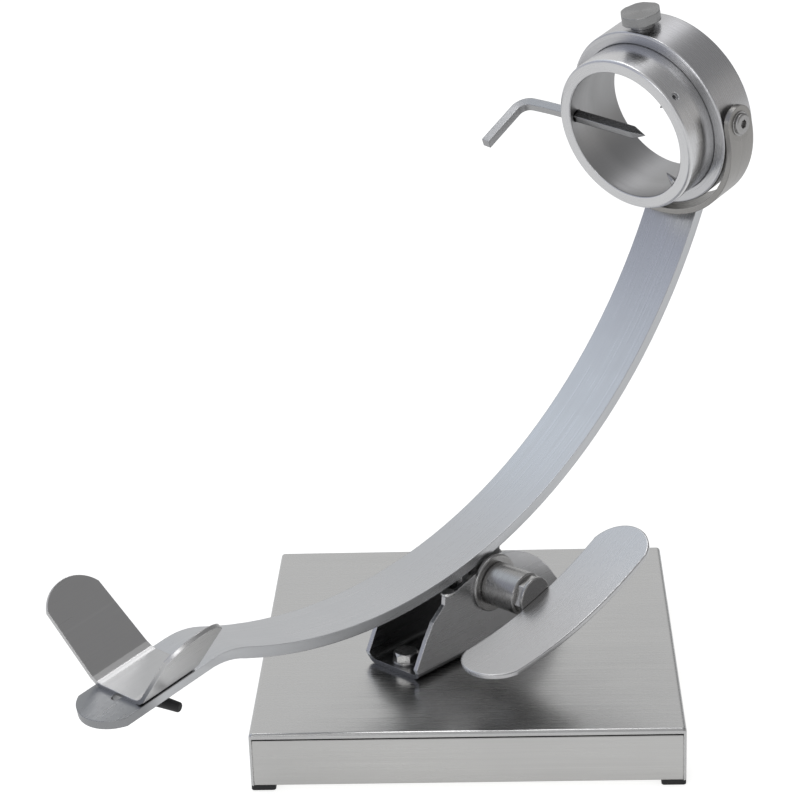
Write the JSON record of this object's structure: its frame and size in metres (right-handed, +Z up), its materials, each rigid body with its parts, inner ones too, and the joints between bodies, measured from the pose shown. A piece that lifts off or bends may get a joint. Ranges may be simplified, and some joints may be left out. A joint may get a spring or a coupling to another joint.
{
  "type": "ham holder stand",
  "caption": "Steel table stand for carving ham: square base, tilting curved arm with a cradle at one end and a swivelling spiked clamp ring at the other.",
  "frame": {"origin": "centre of the square base, in the plane the four feet stand on", "axes": "+Z up, X along the front edge of the base, +Y from the front edge to the back; the arm runs in the vertical plane turned 42 degrees from +Y towards +X, ring end at +X +Y"},
  "size_m": [0.4856, 0.5203, 0.4772],
  "materials": {
    "shell_steel": "satin brushed",
    "panel_steel": "satin brushed",
    "plate_steel": "mill finish",
    "foot_rubber": "matte",
    "fastener_steel": "plain",
    "bracket_steel": "satin brushed",
    "pad_steel": "satin",
    "turned_steel": "turned",
    "lever_steel": "fine brushed",
    "arm_steel": "lengthwise brushed",
    "fork_steel": "brushed around the band",
    "ring_steel": "turned",
    "bolt_steel": "turned",
    "bore_steel": "turned",
    "spike_steel": "satin",
    "saddle_steel": "satin brushed",
    "knob_plastic": "moulded"
  },
  "bodies": {
    "base": {"base_shell": "shell_steel", "front_panel": "panel_steel", "rear_panel": "panel_steel", "base_stiffener": "plate_steel", "corner_feet": "foot_rubber", "foot_screws": "fastener_steel", "foot_nuts": "fastener_steel", "bracket": "bracket_steel", "tilt_stop_pads": "pad_steel", "bracket_bolts": "fastener_steel", "bracket_washers": "fastener_steel", "bracket_nuts": "fastener_steel", "tilt_screw": "fastener_steel", "tilt_screw_washer": "fastener_steel", "clamp_disc": "turned_steel"},
    "lever": {"lever_hub": "turned_steel", "lever_lock_nut": "fastener_steel", "lever_end_washer": "turned_steel", "lever_plate": "lever_steel", "lever_boss": "turned_steel"},
    "arm": {"arm_bar": "arm_steel", "lug_plates": "plate_steel", "pivot_sleeve": "turned_steel", "fork": "fork_steel"},
    "tilt_ring": {"outer_ring": "ring_steel", "ring_pivot_spacers": "turned_steel", "ring_pivot_screws": "fastener_steel", "ring_pivot_washers": "fastener_steel", "lock_bolt_boss": "ring_steel"},
    "lock_bolt": {"ring_lock_bolt": "bolt_steel"},
    "turn_ring": {"inner_ring": "bore_steel", "ring_spikes": "spike_steel"},
    "long_spike": {"l_spike": "spike_steel"},
    "carriage": {"saddle": "saddle_steel", "saddle_stud": "fastener_steel", "saddle_washer": "fastener_steel"},
    "knob": {"saddle_knob": "knob_plastic"}
  },
  "joints": [
    {"name": "lever_turn", "type": "hinge", "parent": "base", "child": "lever", "pos_m": [0, 0, 0.094], "axis": [0.7431, -0.6691, 0], "range_deg": [-50, 18]},
    {"name": "arm_tilt", "type": "hinge", "parent": "base", "child": "arm", "pos_m": [0, 0, 0.094], "axis": [0.7431, -0.6691, 0], "range_deg": [-12, 3]},
    {"name": "ring_tilt", "type": "hinge", "parent": "arm", "child": "tilt_ring", "pos_m": [0.14801, 0.16438, 0.3967], "axis": [0.7431, -0.6691, 0], "range_deg": [-17, 25]},
    {"name": "lock_bolt_turn", "type": "hinge", "parent": "tilt_ring", "child": "lock_bolt", "pos_m": [0.1362, 0.15127, 0.46444], "axis": [-0.1687, -0.1873, 0.9677], "range_deg": [-120, 120]},
    {"name": "ring_turn", "type": "hinge", "parent": "tilt_ring", "child": "turn_ring", "pos_m": [0.14852, 0.16495, 0.3938], "axis": [-0.6475, -0.7191, -0.2521], "range_deg": [-200, 20]},
    {"name": "spike_slide", "type": "slide", "parent": "turn_ring", "child": "long_spike", "axis": [-0.7548, 0.6507, 0.0827], "range_m": [-0.001, 0.06]},
    {"name": "saddle_slide", "type": "slide", "parent": "arm", "child": "carriage", "axis": [-0.66, -0.733, -0.165], "range_m": [-0.015, 0.02]},
    {"name": "knob_turn", "type": "hinge", "parent": "carriage", "child": "knob", "pos_m": [-0.20419, -0.22678, 0.11261], "axis": [-0.1104, -0.1227, 0.9863], "continuous": true}
  ]
}
